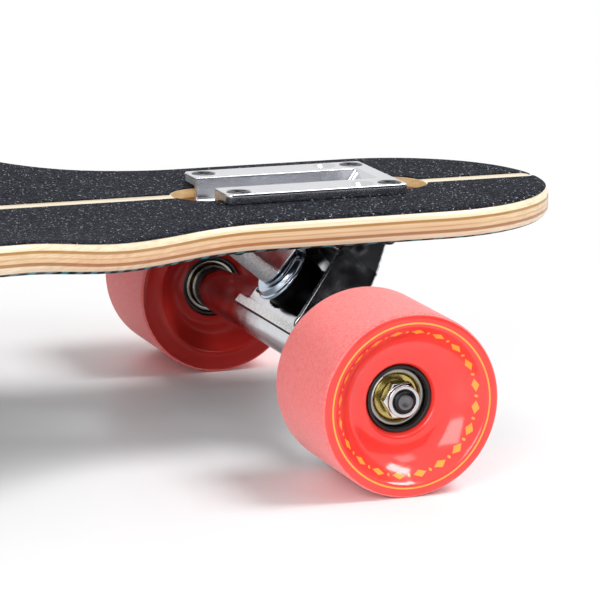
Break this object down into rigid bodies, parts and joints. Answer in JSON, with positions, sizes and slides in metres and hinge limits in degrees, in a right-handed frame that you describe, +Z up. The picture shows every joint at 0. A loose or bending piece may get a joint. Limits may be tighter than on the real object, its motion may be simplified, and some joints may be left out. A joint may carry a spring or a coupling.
{
  "type": "longboard",
  "caption": "Drop-through longboard: waisted, concave laminated deck with grip tape, sprung steering trucks set into cutouts near its ends, and wide soft wheels on ball bearings.",
  "frame": {"origin": "on the ground, under the middle of the deck", "axes": "+X towards the nose, +Y to the rider's left when facing the nose, +Z up"},
  "size_m": [1.029, 0.2596, 0.1061],
  "materials": {
    "maple": "lacquered seven-ply edge, stained underside",
    "grip": "black abrasive sheet",
    "polished": "polished",
    "steel": "bright plated steel",
    "zinc": "zinc plated",
    "black_steel": "black oxide",
    "black_urethane": "moulded, satin",
    "urethane": "cast urethane, dull tread and glossy faces",
    "black_nylon": "moulded",
    "bearing": "bright rings, pale gold shield"
  },
  "bodies": {
    "deck": {"deck": "maple", "grip_tape_left": "grip", "grip_tape_right": "grip", "front_baseplate": "polished", "front_kingpin": "steel", "front_kingpin_nut": "steel", "front_cup_washer": "zinc", "front_road_washer": "zinc", "front_board_bushing": "black_urethane", "front_road_bushing": "black_urethane", "front_pivot_cup": "black_nylon", "front_deck_screw_1": "black_steel", "front_lock_nut_1": "black_steel", "front_deck_screw_2": "black_steel", "front_lock_nut_2": "black_steel", "front_deck_screw_3": "black_steel", "front_lock_nut_3": "black_steel", "front_deck_screw_4": "black_steel", "front_lock_nut_4": "black_steel", "rear_baseplate": "polished", "rear_kingpin": "steel", "rear_kingpin_nut": "steel", "rear_cup_washer": "zinc", "rear_road_washer": "zinc", "rear_board_bushing": "black_urethane", "rear_road_bushing": "black_urethane", "rear_pivot_cup": "black_nylon", "rear_deck_screw_1": "black_steel", "rear_lock_nut_1": "black_steel", "rear_deck_screw_2": "black_steel", "rear_lock_nut_2": "black_steel", "rear_deck_screw_3": "black_steel", "rear_lock_nut_3": "black_steel", "rear_deck_screw_4": "black_steel", "rear_lock_nut_4": "black_steel"},
    "front_hanger": {"front_hanger": "polished", "front_axle": "steel", "front_left_axle_nut": "steel", "front_right_axle_nut": "steel"},
    "front_left_wheel": {"front_left_wheel": "urethane", "front_left_hub": "black_nylon", "front_left_inner_bearing": "bearing", "front_left_outer_bearing": "bearing"},
    "front_right_wheel": {"front_right_wheel": "urethane", "front_right_hub": "black_nylon", "front_right_inner_bearing": "bearing", "front_right_outer_bearing": "bearing"},
    "rear_hanger": {"rear_hanger": "polished", "rear_axle": "steel", "rear_left_axle_nut": "steel", "rear_right_axle_nut": "steel"},
    "rear_left_wheel": {"rear_left_wheel": "urethane", "rear_left_hub": "black_nylon", "rear_left_inner_bearing": "bearing", "rear_left_outer_bearing": "bearing"},
    "rear_right_wheel": {"rear_right_wheel": "urethane", "rear_right_hub": "black_nylon", "rear_right_inner_bearing": "bearing", "rear_right_outer_bearing": "bearing"}
  },
  "joints": [
    {"name": "front_steer", "type": "hinge", "parent": "deck", "child": "front_hanger", "pos_m": [0.406, 0, 0.035], "axis": [0.6428, 0, 0.766], "range_deg": [-15, 15], "stiffness_Nm_per_rad": 60, "deforming": ["front_board_bushing", "front_road_bushing"]},
    {"name": "front_left_roll", "type": "hinge", "parent": "front_hanger", "child": "front_left_wheel", "pos_m": [0.406, 0.104, 0.035], "axis": [0, 1, 0], "continuous": true},
    {"name": "front_right_roll", "type": "hinge", "parent": "front_hanger", "child": "front_right_wheel", "pos_m": [0.406, -0.104, 0.035], "axis": [0, 1, 0], "continuous": true},
    {"name": "rear_steer", "type": "hinge", "parent": "deck", "child": "rear_hanger", "pos_m": [-0.406, 0, 0.035], "axis": [-0.6428, 0, 0.766], "range_deg": [-15, 15], "stiffness_Nm_per_rad": 60, "deforming": ["rear_board_bushing", "rear_road_bushing"]},
    {"name": "rear_left_roll", "type": "hinge", "parent": "rear_hanger", "child": "rear_left_wheel", "pos_m": [-0.406, 0.104, 0.035], "axis": [0, 1, 0], "continuous": true},
    {"name": "rear_right_roll", "type": "hinge", "parent": "rear_hanger", "child": "rear_right_wheel", "pos_m": [-0.406, -0.104, 0.035], "axis": [0, 1, 0], "continuous": true}
  ]
}
